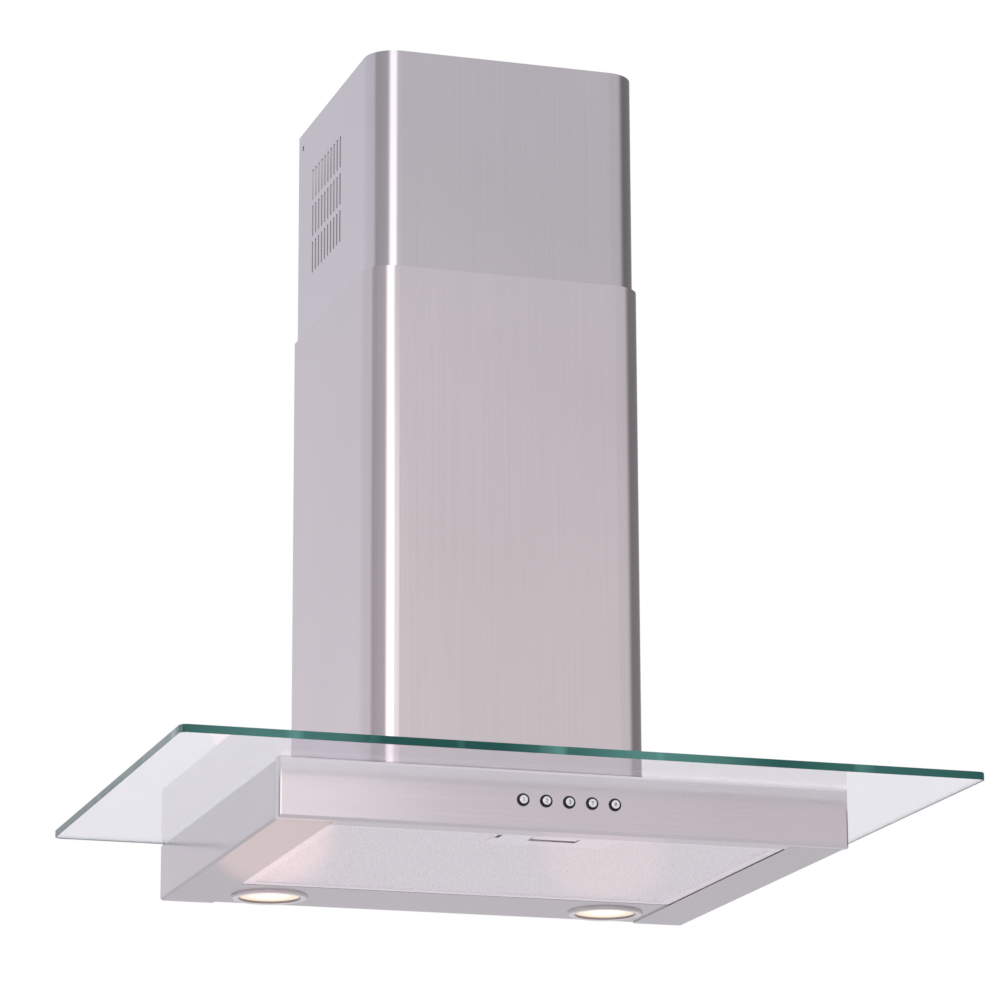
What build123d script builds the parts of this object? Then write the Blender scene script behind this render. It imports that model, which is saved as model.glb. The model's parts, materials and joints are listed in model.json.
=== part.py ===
from build123d import *

import os
from math import cos, radians, sin

# Wall-mounted chimney range hood with a flat glass canopy.
# Frame: X to the right, Y towards the wall, Z up, in millimetres.
# The origin lies on the wall plane, midway between the two wall screw holes,
# at half the height of the steel body.

# ---------------------------------------------------------------- driving sizes
sheet = 1.0

body_width = 430.0
body_depth = 360.0
body_height = 44.0
body_fold_radius = 2.5
side_flange_width = 42.0
fascia_return = 8.0
front_lip_depth = 19.0
panel_seam = 0.3

lamp_panel_depth = 83.5
lamp_offset_x = 137.0
lamp_offset_y = 36.0
lamp_ring_radius = 30.0
lamp_window_radius = 23.5
lamp_cup_radius = 26.5
lamp_cup_height = 17.0

glass_width = 600.0
glass_depth = 418.0
glass_thickness = 6.0
glass_corner_radius = 6.0
glass_notch_width = 180.0
glass_notch_depth = 199.0
glass_screw_x = 100.0
glass_screw_ys = (-170.0, -40.0)

lower_chimney_width = 222.0
lower_chimney_depth = 222.0
lower_chimney_height = 410.0
upper_chimney_width = 217.0
upper_chimney_depth = 219.5
upper_chimney_height = 405.0
chimney_rise = 176.0
chimney_corner_radius = 24.0

vent_columns = 10
vent_rows = 3
vent_pitch_y = 9.15
vent_pitch_z = 30.8
vent_length = 27.0
vent_width = 3.5
vent_centre_y = -85.2
vent_centre_below_top = 85.3
bracket_hole_y = -13.0
bracket_hole_below_top = 13.0

wall_hole_spacing = 300.0
wall_hole_radius = 4.0
bracket_wall_spacing = 140.0
bracket_wall_hole_radius = 3.5

button_count = 5
button_pitch = 17.3
button_radius = 3.5
button_collar_radius = 4.7
button_travel = 2.5

box_width = 176.0
box_back_y = -4.0
box_depth = 192.0
box_height = 210.0
box_flange = 14.0

fan_y = -80.0
fan_z = 119.0
impeller_radius = 60.0
impeller_width = 76.0
blade_count = 32
blade_depth = 12.0
scroll_width = 96.0
scroll_wall = 2.0
scroll_start_radius = 64.0
scroll_end_radius = 88.0
inlet_radius = 46.0
shaft_radius = 4.0
running_clearance = 0.05
motor_radius = 34.0

duct_radius = 74.5
duct_wall = 3.0
duct_centre_y = -116.0
duct_collar_height = 40.0
flap_pin_radius = 1.5
flap_pin_half_gap = 5.0
flap_radius = 69.5

filter_width = 344.4
filter_front_y = -339.0
filter_back_y = -86.0
filter_bottom_z = -21.2
filter_top_z = -12.0
filter_lip = 8.0
filter_skin = 0.8
filter_mesh_thickness = 0.6
filter_tab_x = 120.0
latch_travel = 5.5

# ---------------------------------------------------------------- derived places
body_top = body_height / 2
body_bottom = -body_height / 2
plate_under = body_top - sheet
flange_top = body_bottom + sheet
half_width = body_width / 2
opening_half_width = half_width - side_flange_width
fascia_back_y = -body_depth + fascia_return
glass_top = body_top + glass_thickness
lower_chimney_top = glass_top + lower_chimney_height
upper_chimney_top = lower_chimney_top + chimney_rise
upper_chimney_bottom = upper_chimney_top - upper_chimney_height
box_top = body_top + box_height
box_front_y = box_back_y - box_depth
button_xs = [(index - (button_count - 1) / 2) * button_pitch for index in range(button_count)]
side_names = {-1: "left", 1: "right"}


# ---------------------------------------------------------------- shared shapes
def block(x_limits, y_limits, z_limits, mode=Mode.ADD):
    """A box between the given limits."""
    limits = (x_limits, y_limits, z_limits)
    centre = [(low + high) / 2 for low, high in limits]
    size = [high - low for low, high in limits]
    with Locations(tuple(centre)):
        Box(*size, mode=mode)


def rod(start, direction, radius, length, mode=Mode.ADD):
    """A round bar that starts at a point and runs along a direction."""
    with Locations(Plane(origin=start, z_dir=direction)):
        Cylinder(radius, length, align=(Align.CENTER, Align.CENTER, Align.MIN), mode=mode)


def pan_screw(seat, direction, shank_radius, shank_length, head_radius, head_height):
    """A pan-head screw: the head stands on the seat, the shank runs along the direction."""
    back = tuple(-part for part in direction)
    rod(seat, direction, shank_radius, shank_length)
    rod(seat, back, head_radius, head_height)
    crown = edges(Select.LAST).filter_by(GeomType.CIRCLE).sort_by(Axis(seat, back))[-1]
    fillet(crown, head_height * 0.45)
    slot_start = tuple(place + step * head_height for place, step in zip(seat, back))
    with Locations(Plane(origin=slot_start, z_dir=direction)):
        Box(head_radius * 1.3, head_radius * 0.22, head_height * 0.9, mode=Mode.SUBTRACT)
        Box(head_radius * 0.22, head_radius * 1.3, head_height * 0.9, mode=Mode.SUBTRACT)


def save(name, piece):
    """Label a finished piece and write it as the node of that name."""
    piece.part.label = name
    export_step(piece.part, f"parts/{name}.step")


os.makedirs("parts", exist_ok=True)

# ================================================================ steel body
box_screw_x = box_width / 2 - box_flange / 2
box_screw_ys = (-150.0, -60.0)
box_opening_x = box_width / 2 - box_flange
box_opening_y = (box_front_y + box_flange, box_back_y - box_flange)

# One folded sheet: top plate, two sides and the two flanges under them.
shell_length = body_depth - fascia_return - panel_seam
with BuildPart() as canopy_shell:
    with BuildSketch(Plane.XZ):
        RectangleRounded(body_width, body_height, body_fold_radius)
        RectangleRounded(
            body_width - 2 * sheet,
            body_height - 2 * sheet,
            body_fold_radius - sheet,
            mode=Mode.SUBTRACT,
        )
        with Locations((0, body_bottom)):
            Rectangle(2 * opening_half_width, 4 * sheet, mode=Mode.SUBTRACT)
    extrude(amount=shell_length)
    block((-box_opening_x, box_opening_x), box_opening_y, (plate_under - 1, body_top + 1), Mode.SUBTRACT)
    with BuildSketch(Plane.XY.offset(body_top)):
        with Locations([(side * glass_screw_x, y) for side in (-1, 1) for y in glass_screw_ys]):
            Circle(2.8)
        with Locations([(side * box_screw_x, y) for side in (-1, 1) for y in box_screw_ys]):
            Circle(2.2)
    extrude(amount=-2 * sheet, mode=Mode.SUBTRACT)
save("canopy_shell", canopy_shell)

# Pressed front panel with short returns, five button holes and the front lip,
# whose inner edge is hemmed upwards to catch the filter's latch.
lip_half_width = opening_half_width - panel_seam
lip_back_y = -body_depth + front_lip_depth
with BuildPart() as front_fascia:
    block((-half_width, half_width), (-body_depth, fascia_back_y), (body_bottom, body_top))
    front_edges = edges().group_by(Axis.Y)[0]
    fillet(front_edges.filter_by(Axis.Z) + front_edges.filter_by(Axis.X), body_fold_radius)
    offset(amount=-sheet, openings=faces().sort_by(Axis.Y)[-1])
    block((-lip_half_width, lip_half_width), (fascia_back_y - 1, lip_back_y), (body_bottom, flange_top))
    block((-lip_half_width, lip_half_width), (lip_back_y - 1.5, lip_back_y), (flange_top, flange_top + 1.2))
    with BuildSketch(Plane.XZ.offset(body_depth)):
        with Locations([(x, 0) for x in button_xs]):
            Circle(button_collar_radius)
    extrude(amount=-2 * sheet, mode=Mode.SUBTRACT)
save("front_fascia", front_fascia)

# Back plate inside the shell, with the two holes for the wall screws.
panel_thickness = 1.5
with BuildPart() as rear_panel:
    block(
        (-half_width + sheet, half_width - sheet),
        (-panel_thickness, 0),
        (flange_top + sheet, plate_under),
    )
    fillet(edges().filter_by(Axis.Y), body_fold_radius - sheet)
    with BuildSketch(Plane.XZ):
        with GridLocations(wall_hole_spacing, 1, 2, 1):
            Circle(wall_hole_radius)
    extrude(amount=panel_thickness, mode=Mode.SUBTRACT)
save("rear_panel", rear_panel)

# Fixed panel at the back of the underside. It lies on the flanges and carries
# the lamps; its front edge is turned up, with two gaps for the filter's tabs.
lamp_panel_half_width = opening_half_width + 13
tab_gap = 18.0
with BuildPart() as lamp_panel:
    block(
        (-lamp_panel_half_width, lamp_panel_half_width),
        (-lamp_panel_depth, 0),
        (flange_top, flange_top + sheet),
    )
    block(
        (-opening_half_width, opening_half_width),
        (-lamp_panel_depth, -lamp_panel_depth + sheet),
        (flange_top + sheet, filter_top_z),
    )
    for side in (-1, 1):
        block(
            (side * filter_tab_x - tab_gap, side * filter_tab_x + tab_gap),
            (-lamp_panel_depth, -lamp_panel_depth + sheet),
            (flange_top + sheet, filter_top_z),
            Mode.SUBTRACT,
        )
    with BuildSketch(Plane.XY.offset(flange_top)):
        with Locations([(side * lamp_offset_x, -lamp_offset_y) for side in (-1, 1)]):
            Circle(lamp_cup_radius + 0.5)
    extrude(amount=sheet, mode=Mode.SUBTRACT)
save("lamp_panel", lamp_panel)

# ================================================================ glass canopy
glass_hole_radius = 4.5
with BuildPart() as glass_canopy:
    with BuildSketch(Plane.XY.offset(body_top)):
        with Locations((0, -glass_depth / 2)):
            RectangleRounded(glass_width, glass_depth, glass_corner_radius)
        with Locations((0, -glass_notch_depth / 2 + 10)):
            RectangleRounded(glass_notch_width, glass_notch_depth + 20, 8, mode=Mode.SUBTRACT)
        with Locations([(side * glass_screw_x, y) for side in (-1, 1) for y in glass_screw_ys]):
            Circle(glass_hole_radius, mode=Mode.SUBTRACT)
    extrude(amount=glass_thickness)
    chamfer(edges().filter_by(Plane.XY), 0.5)
save("glass_canopy", glass_canopy)

# The chimney's foot, the glass and the top plate are bolted together at four points.
glass_points = [(side * glass_screw_x, y) for side in (-1, 1) for y in glass_screw_ys]
glass_screw_radius = 2.5
with BuildPart() as glass_bushes:
    with BuildSketch(Plane.XY.offset(body_top)):
        with Locations(glass_points):
            Circle(glass_hole_radius - 0.1)
            Circle(glass_screw_radius + 0.2, mode=Mode.SUBTRACT)
    extrude(amount=glass_thickness)
save("glass_bushes", glass_bushes)

with BuildPart() as glass_screws:
    for x, y in glass_points:
        pan_screw((x, y, glass_top + sheet), (0, 0, -1), glass_screw_radius, 16, 4.6, 3)
save("glass_screws", glass_screws)

with BuildPart() as glass_nuts:
    with BuildSketch(Plane.XY.offset(plate_under)):
        with Locations(glass_points):
            RegularPolygon(4.6, 6)
            Circle(glass_screw_radius, mode=Mode.SUBTRACT)
    extrude(amount=-4)
save("glass_nuts", glass_nuts)


# ================================================================ chimney
def chimney_skin(width, depth, corner_radius):
    """Plan outline of a chimney cover: a U with round front corners, open to the wall."""
    RectangleRounded(width, 2 * depth, corner_radius)
    RectangleRounded(
        width - 2 * sheet,
        2 * (depth - sheet),
        corner_radius - sheet,
        mode=Mode.SUBTRACT,
    )
    Rectangle(width, depth, align=(Align.CENTER, Align.MIN), mode=Mode.SUBTRACT)


foot_width = 16.0
with BuildPart() as lower_chimney:
    with BuildSketch(Plane.XY.offset(glass_top)):
        chimney_skin(lower_chimney_width, lower_chimney_depth, chimney_corner_radius)
    extrude(amount=lower_chimney_height)
    foot_outer = lower_chimney_width / 2 - sheet
    for side in (-1, 1):
        foot_edges = sorted((side * foot_outer, side * (foot_outer - foot_width)))
        block(foot_edges, (-190, -12), (glass_top, glass_top + sheet))
    with BuildSketch(Plane.XY.offset(glass_top)):
        with Locations(glass_points):
            Circle(2.7)
    extrude(amount=sheet, mode=Mode.SUBTRACT)
save("lower_chimney", lower_chimney)

bracket_hole_z = upper_chimney_top - bracket_hole_below_top
vent_centre_z = upper_chimney_top - vent_centre_below_top
with BuildPart() as upper_chimney:
    with BuildSketch(Plane.XY.offset(upper_chimney_bottom)):
        chimney_skin(upper_chimney_width, upper_chimney_depth, chimney_corner_radius)
    extrude(amount=upper_chimney_height)
    with BuildSketch(Plane.YZ):
        with Locations((vent_centre_y, vent_centre_z)):
            with GridLocations(vent_pitch_y, vent_pitch_z, vent_columns, vent_rows):
                SlotOverall(vent_length, vent_width, rotation=90)
        with Locations((bracket_hole_y, bracket_hole_z)):
            Circle(2.3)
    extrude(amount=upper_chimney_width, both=True, mode=Mode.SUBTRACT)
save("upper_chimney", upper_chimney)

# U-shaped wall bracket that holds the top of the upper cover.
bracket_sheet = 1.5
bracket_arm = 40.0
bracket_height = 22.0
bracket_half_width = upper_chimney_width / 2 - sheet
bracket_bottom = bracket_hole_z - bracket_height / 2
with BuildPart() as upper_bracket:
    block((-bracket_half_width, bracket_half_width), (-bracket_arm, 0), (bracket_bottom, bracket_bottom + bracket_height))
    block(
        (-bracket_half_width + bracket_sheet, bracket_half_width - bracket_sheet),
        (-bracket_arm - 1, -bracket_sheet),
        (bracket_bottom - 1, bracket_bottom + bracket_height + 1),
        Mode.SUBTRACT,
    )
    with BuildSketch(Plane.YZ):
        with Locations((bracket_hole_y, bracket_hole_z)):
            Circle(1.7)
    extrude(amount=upper_chimney_width, both=True, mode=Mode.SUBTRACT)
    with BuildSketch(Plane.XZ):
        with Locations((0, bracket_hole_z)):
            with GridLocations(bracket_wall_spacing, 1, 2, 1):
                Circle(bracket_wall_hole_radius)
    extrude(amount=bracket_sheet, mode=Mode.SUBTRACT)
save("upper_bracket", upper_bracket)

# ================================================================ blower casing
gland_x = 50.0
gland_y = -20.0
gland_radius = 8.0
box_half_width = box_width / 2
with BuildPart() as blower_box:
    block((-box_half_width, box_half_width), (box_front_y, box_back_y), (body_top, box_top))
    block(
        (-box_half_width + sheet, box_half_width - sheet),
        (box_front_y + sheet, box_back_y - sheet),
        (body_top + sheet, box_top - sheet),
        Mode.SUBTRACT,
    )
    block((-box_opening_x, box_opening_x), box_opening_y, (body_top, body_top + sheet), Mode.SUBTRACT)
    rod((0, duct_centre_y, box_top - sheet), (0, 0, 1), duct_radius - 1, sheet, Mode.SUBTRACT)
    rod((gland_x, gland_y, box_top - sheet), (0, 0, 1), gland_radius, sheet, Mode.SUBTRACT)
    for side in (-1, 1):
        for y in box_screw_ys:
            rod((side * box_screw_x, y, body_top), (0, 0, 1), 2.0, sheet, Mode.SUBTRACT)
    collar_points = [(side * 78.0, y) for side in (-1, 1) for y in (-184.0, -48.0)]
    for x, y in collar_points:
        rod((x, y, box_top - sheet), (0, 0, 1), 2.0, sheet, Mode.SUBTRACT)
save("blower_box", blower_box)

with BuildPart() as blower_box_screws:
    for side in (-1, 1):
        for y in box_screw_ys:
            pan_screw((side * box_screw_x, y, plate_under), (0, 0, 1), 2.0, 8, 4, 2.6)
save("blower_box_screws", blower_box_screws)


# ================================================================ fan
def scroll_radius(turn):
    """Inner radius of the scroll, growing evenly over its 270 degrees of turn."""
    return scroll_start_radius + (scroll_end_radius - scroll_start_radius) * turn / 270


def around_fan(turn, radius):
    """Point at a radius from the fan's axis. The turn starts at the top and goes to the wall."""
    return (fan_y + radius * sin(radians(turn)), fan_z + radius * cos(radians(turn)))


def scroll_outline(extra, top):
    """The scroll seen along the fan's axis, with its outlet channel running up to a height."""
    turns = range(0, 271, 30)
    with BuildLine() as spiral:
        curve = Spline(*[around_fan(turn, scroll_radius(turn) + extra) for turn in turns])
        Line(curve @ 1, (fan_y, fan_z))
        Line((fan_y, fan_z), curve @ 0)
    make_face(spiral.edges())
    channel_width = scroll_end_radius + 2 * extra
    with Locations((fan_y + extra - channel_width / 2, (fan_z + top) / 2)):
        Rectangle(channel_width, top - fan_z)


scroll_top = box_top - sheet
lug_radius = 4.5
lug_length = 14.0
lug_stand_off = scroll_wall + 3.4
lug_points = [around_fan(turn, scroll_radius(turn) + lug_stand_off) for turn in (135, 225)]
lug_points.append((fan_y - scroll_end_radius - lug_stand_off, 200.0))
lug_points.append((fan_y + lug_stand_off, 215.0))


def scroll_half(side):
    """One moulded half of the scroll, with its inlet and four screw lugs."""
    half = scroll_width / 2
    with BuildPart() as shell:
        with BuildSketch(Plane.YZ):
            scroll_outline(scroll_wall, scroll_top)
        extrude(amount=side * half)
        for y, z in lug_points:
            rod((0, y, z), (side, 0, 0), lug_radius, lug_length)
        with BuildSketch(Plane.YZ):
            scroll_outline(0, scroll_top + 5)
        extrude(amount=side * (half - scroll_wall), mode=Mode.SUBTRACT)
        rod((0, fan_y, fan_z), (side, 0, 0), inlet_radius, half, Mode.SUBTRACT)
        for y, z in lug_points:
            rod((0, y, z), (side, 0, 0), 1.5, lug_length, Mode.SUBTRACT)
    return shell


save("scroll_left", scroll_half(-1))
save("scroll_right", scroll_half(1))

with BuildPart() as scroll_screws:
    for y, z in lug_points:
        pan_screw((-lug_length, y, z), (1, 0, 0), 1.5, 2 * lug_length - 2, 2.9, 2.2)
save("scroll_screws", scroll_screws)

# Forward-curved double-width wheel: a centre disc with a hub, blades and two end rings.
hub_radius = 9.0
blade_inner_radius = impeller_radius - blade_depth
blade_middle = impeller_radius - blade_depth / 2
blade_outer_radius = impeller_radius - 0.3
with BuildSketch() as blade:
    with BuildLine():
        hollow = ThreePointArc((blade_inner_radius, 0), (blade_middle, 2.6), (blade_outer_radius, 1.0))
        crown = ThreePointArc((blade_inner_radius, 0.8), (blade_middle, 3.6), (blade_outer_radius, 2.0))
        Line(hollow @ 0, crown @ 0)
        Line(hollow @ 1, crown @ 1)
    make_face()
with BuildPart() as fan_impeller:
    rod((-1, fan_y, fan_z), (1, 0, 0), impeller_radius, 2)
    rod((-7, fan_y, fan_z), (1, 0, 0), hub_radius, 17)
    for side in (-1, 1):
        ring_start = side * (impeller_width / 2 - 2)
        rod((ring_start, fan_y, fan_z), (side, 0, 0), impeller_radius, 2)
        rod((ring_start, fan_y, fan_z), (side, 0, 0), blade_inner_radius - 1, 2, Mode.SUBTRACT)
    with BuildSketch(Plane(origin=(0, fan_y, fan_z), x_dir=(0, 1, 0), z_dir=(1, 0, 0))):
        with PolarLocations(0, blade_count):
            add(blade.sketch_local)
    extrude(amount=impeller_width / 2, both=True)
    rod((-8, fan_y, fan_z), (1, 0, 0), shaft_radius, 20, Mode.SUBTRACT)
save("fan_impeller", fan_impeller)

motor_back_x = -64.0
motor_front_x = -10.0
boss_radius = 12.0
with BuildPart() as motor_shaft:
    rod((motor_back_x - 4, fan_y, fan_z), (1, 0, 0), shaft_radius, 80)
    chamfer(edges().filter_by(GeomType.CIRCLE), 0.6)
save("motor_shaft", motor_shaft)

with BuildPart() as fan_motor:
    rod((motor_back_x, fan_y, fan_z), (1, 0, 0), motor_radius, motor_front_x - motor_back_x)
    fillet(edges().filter_by(GeomType.CIRCLE), 3)
    rod((motor_back_x - 3, fan_y, fan_z), (1, 0, 0), boss_radius, motor_front_x - motor_back_x + 4.5)
    with BuildSketch(Plane(origin=(motor_back_x + 12, fan_y, fan_z), x_dir=(0, 1, 0), z_dir=(1, 0, 0))):
        with PolarLocations(motor_radius, 24):
            Rectangle(2.4, 3)
    extrude(amount=30, mode=Mode.SUBTRACT)
    rod(
        (motor_back_x - 5, fan_y, fan_z),
        (1, 0, 0),
        shaft_radius + running_clearance,
        80,
        Mode.SUBTRACT,
    )
save("fan_motor", fan_motor)

# Three-armed bracket on the motor's back, standing on rubber bushes on the left inlet.
bush_circle_radius = 54.0
arm_end_radius = 60.0
arm_thickness = 2.0
bush_points = [around_fan(turn, bush_circle_radius) for turn in (0, 120, 240)]
with BuildPart() as motor_bracket:
    with BuildSketch(Plane(origin=(motor_back_x, fan_y, fan_z), x_dir=(0, 1, 0), z_dir=(-1, 0, 0))):
        Circle(24)
        for turn in (90, 210, 330):
            with Locations(Location((0, 0, 0), turn)):
                with Locations((arm_end_radius / 2, 0)):
                    SlotOverall(arm_end_radius + 12, 12)
        Circle(boss_radius, mode=Mode.SUBTRACT)
        with PolarLocations(bush_circle_radius, 3, start_angle=90):
            Circle(2.0, mode=Mode.SUBTRACT)
    extrude(amount=arm_thickness)
save("motor_bracket", motor_bracket)

bush_length = -scroll_width / 2 - motor_back_x
with BuildPart() as motor_bushes:
    for y, z in bush_points:
        rod((motor_back_x, y, z), (1, 0, 0), 5.5, bush_length)
        rod((motor_back_x, y, z), (1, 0, 0), 2.0, bush_length, Mode.SUBTRACT)
save("motor_bushes", motor_bushes)

with BuildPart() as motor_screws:
    for y, z in bush_points:
        pan_screw((motor_back_x - arm_thickness, y, z), (1, 0, 0), 2.0, bush_length + 2, 4, 2.6)
save("motor_screws", motor_screws)

# ================================================================ outlet and flaps
collar_base = 3.0
collar_bottom = box_top
collar_top = collar_bottom + collar_base + duct_collar_height
duct_inner_radius = duct_radius - duct_wall
flap_pin_z = collar_bottom + 20
flap_thickness = 1.5
with BuildPart() as outlet_collar:
    with BuildSketch(Plane.XY.offset(collar_bottom)):
        with Locations((0, duct_centre_y)):
            RectangleRounded(174, 158, 8)
    extrude(amount=collar_base)
    rod((0, duct_centre_y, collar_bottom), (0, 0, 1), duct_radius, collar_top - collar_bottom)
    fillet(faces().sort_by(Axis.Z)[-1].edges(), 1)
    rod(
        (0, duct_centre_y, collar_bottom),
        (0, 0, 1),
        duct_inner_radius,
        collar_top - collar_bottom,
        Mode.SUBTRACT,
    )
    with BuildSketch(Plane.XY.offset(flap_pin_z - flap_thickness - 2.8)):
        with Locations((0, duct_centre_y)):
            Circle(duct_inner_radius + 1)
            Circle(duct_inner_radius - 4, mode=Mode.SUBTRACT)
    extrude(amount=2.5)
    for side in (-1, 1):
        pin_y = duct_centre_y + side * flap_pin_half_gap
        rod((-duct_radius, pin_y, flap_pin_z), (1, 0, 0), flap_pin_radius, 2 * duct_radius, Mode.SUBTRACT)
    for x, y in collar_points:
        rod((x, y, collar_bottom), (0, 0, 1), 2.0, collar_base, Mode.SUBTRACT)
save("outlet_collar", outlet_collar)

with BuildPart() as collar_screws:
    for x, y in collar_points:
        pan_screw((x, y, collar_bottom + collar_base), (0, 0, -1), 2.0, 9, 3.8, 2.4)
save("collar_screws", collar_screws)

with BuildPart() as flap_pins:
    for side in (-1, 1):
        pin_y = duct_centre_y + side * flap_pin_half_gap
        rod((-duct_radius + 1, pin_y, flap_pin_z), (1, 0, 0), flap_pin_radius, 2 * duct_radius - 2)
save("flap_pins", flap_pins)


def backdraft_flap(side):
    """Half-round flap that lies shut on the collar's inner ledge and lifts in the air stream."""
    pin_y = duct_centre_y + side * flap_pin_half_gap
    barrel_length = 116.0
    with BuildPart() as flap:
        with BuildSketch(Plane.XY.offset(flap_pin_z - flap_thickness)):
            with Locations((0, duct_centre_y)):
                Circle(flap_radius)
            with Locations((0, pin_y + side * flap_radius / 2)):
                Rectangle(2 * flap_radius, flap_radius, mode=Mode.INTERSECT)
        extrude(amount=flap_thickness)
        rod((-barrel_length / 2, pin_y, flap_pin_z), (1, 0, 0), 3, barrel_length)
        rod(
            (-barrel_length, pin_y, flap_pin_z),
            (1, 0, 0),
            flap_pin_radius + running_clearance,
            2 * barrel_length,
            Mode.SUBTRACT,
        )
        for edge in (-1, 1):
            block(
                sorted((edge * barrel_length / 2, edge * flap_radius)),
                (pin_y - 3, pin_y + 3),
                (flap_pin_z - 3, flap_pin_z + 3),
                Mode.SUBTRACT,
            )
    return flap


save("flap_front", backdraft_flap(-1))
save("flap_rear", backdraft_flap(1))

# Gland for the mains cord, in the top of the blower casing.
with BuildPart() as cable_gland:
    gland_plane = Plane.XY.offset(box_top)
    rod((gland_x, gland_y, box_top - 7), (0, 0, 1), gland_radius - 0.1, 7)
    with BuildSketch(gland_plane):
        with Locations((gland_x, gland_y)):
            RegularPolygon(11, 6)
    extrude(amount=5)
    rod((gland_x, gland_y, box_top + 5), (0, 0, 1), 9.2, 11)
    fillet(faces().sort_by(Axis.Z)[-1].edges(), 4)
    with BuildSketch(Plane.XY.offset(box_top - 1.2)):
        with Locations((gland_x, gland_y)):
            RegularPolygon(11, 6)
    extrude(amount=-4)
    rod((gland_x, gland_y, box_top - 8), (0, 0, 1), 3.8, 26, Mode.SUBTRACT)
save("cable_gland", cable_gland)

# ================================================================ electrical parts
control_box_x = (opening_half_width + 3, half_width - sheet - body_fold_radius)
control_box_y = (-310.0, -165.0)
control_box_z = (-14.0, plate_under)
box_wall = 2.0
with BuildPart() as control_box:
    block(control_box_x, control_box_y, control_box_z)
    block(
        (control_box_x[0] - 1, control_box_x[1] - box_wall),
        (control_box_y[0] + box_wall, control_box_y[1] - box_wall),
        (control_box_z[0] + box_wall, control_box_z[1] - box_wall),
        Mode.SUBTRACT,
    )
    for y in (control_box_y[0] + 5, control_box_y[1] - 5):
        rod((control_box_x[0], y, 3), (1, 0, 0), 4, 16)
        rod((control_box_x[0], y, 3), (1, 0, 0), 1.4, 12, Mode.SUBTRACT)
save("control_box", control_box)

with BuildPart() as control_box_lid:
    block((control_box_x[0] - 1.6, control_box_x[0]), control_box_y, control_box_z)
    fillet(edges().filter_by(Axis.X), 1.5)
    for y in (control_box_y[0] + 5, control_box_y[1] - 5):
        rod((control_box_x[0] - 2, y, 3), (1, 0, 0), 1.6, 3, Mode.SUBTRACT)
save("control_box_lid", control_box_lid)

with BuildPart() as control_box_screws:
    for y in (control_box_y[0] + 5, control_box_y[1] - 5):
        pan_screw((control_box_x[0] - 1.6, y, 3), (1, 0, 0), 1.4, 10, 2.8, 1.8)
save("control_box_screws", control_box_screws)

terminal_pitch = 10.0
terminal_x = (control_box_x[1] - box_wall - 16, control_box_x[1] - box_wall)
with BuildPart() as terminal_block:
    for index in range(6):
        y = -262 + index * terminal_pitch
        block(terminal_x, (y - 4.6, y + 4.6), (-4, 12))
        rod((terminal_x[0], y, 0), (1, 0, 0), 1.8, 9, Mode.SUBTRACT)
        rod((terminal_x[0], y, 8), (1, 0, 0), 1.8, 9, Mode.SUBTRACT)
    block((terminal_x[1] - 3, terminal_x[1]), (-266, -208), (0, 8))
save("terminal_block", terminal_block)

capacitor_centre = (control_box_x[1] - 16.5, 0, 2.0)
capacitor_radius = 14.0
with BuildPart() as capacitor:
    rod((capacitor_centre[0], -152, capacitor_centre[2]), (0, 1, 0), capacitor_radius, 52)
    fillet(edges().filter_by(GeomType.CIRCLE), 2)
    for x in (-4, 4):
        block(
            (capacitor_centre[0] + x - 0.4, capacitor_centre[0] + x + 0.4),
            (-101, -92),
            (capacitor_centre[2] - 3, capacitor_centre[2] + 3),
        )
save("capacitor", capacitor)

with BuildPart() as capacitor_clip:
    clip_plane = Plane.XZ.offset(134)
    with BuildSketch(clip_plane):
        with Locations((capacitor_centre[0], capacitor_centre[2])):
            Circle(capacitor_radius + 1.2)
        with Locations((capacitor_centre[0], (plate_under + capacitor_centre[2]) / 2)):
            Rectangle(8, plate_under - capacitor_centre[2])
        with Locations((capacitor_centre[0], capacitor_centre[2])):
            Circle(capacitor_radius, mode=Mode.SUBTRACT)
    extrude(amount=-12)
save("capacitor_clip", capacitor_clip)

with BuildPart() as lamp_transformer:
    block((-half_width + 3, -opening_half_width - 6), (-300, -225), (-8, plate_under))
    fillet(edges().filter_by(Axis.Y), 2)
    for y in (-295, -230):
        block((-half_width + 8, -opening_half_width - 11), (y - 9, y + 9), (plate_under - 2, plate_under))
save("lamp_transformer", lamp_transformer)

# ================================================================ push buttons
fascia_inside_y = -body_depth + sheet
switch_front_y = -346.0
switch_back_y = -322.0
switch_half_width = 46.0
stem_radius = 2.2
with BuildPart() as switch_block:
    block((-switch_half_width, switch_half_width), (switch_front_y, switch_back_y), (-9, 9))
    chamfer(edges().filter_by(Axis.Y), 1)
    for x in button_xs:
        rod((x, switch_front_y, 0), (0, 1, 0), stem_radius + 0.4, 7, Mode.SUBTRACT)
        for z in (-4.5, 4.5):
            block((x - 2.4, x + 2.4), (switch_back_y, switch_back_y + 7), (z - 0.4, z + 0.4))
save("switch_block", switch_block)

guide_plate = 2.0
with BuildPart() as button_guide:
    block(
        (-switch_half_width - 2, switch_half_width + 2),
        (fascia_inside_y, fascia_inside_y + guide_plate),
        (-8, 8),
    )
    for side in (-1, 1):
        block(
            sorted((side * switch_half_width, side * (switch_half_width + 2))),
            (fascia_inside_y, switch_back_y),
            (-8, 8),
        )
    for x in button_xs:
        rod((x, fascia_inside_y, 0), (0, -1, 0), button_collar_radius - 0.02, sheet + 0.9)
        fillet(edges(Select.LAST).sort_by(Axis.Y)[0], 0.5)
    for x in button_xs:
        rod((x, -body_depth - 2, 0), (0, 1, 0), button_radius + 0.3, 6, Mode.SUBTRACT)
save("button_guide", button_guide)


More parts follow.
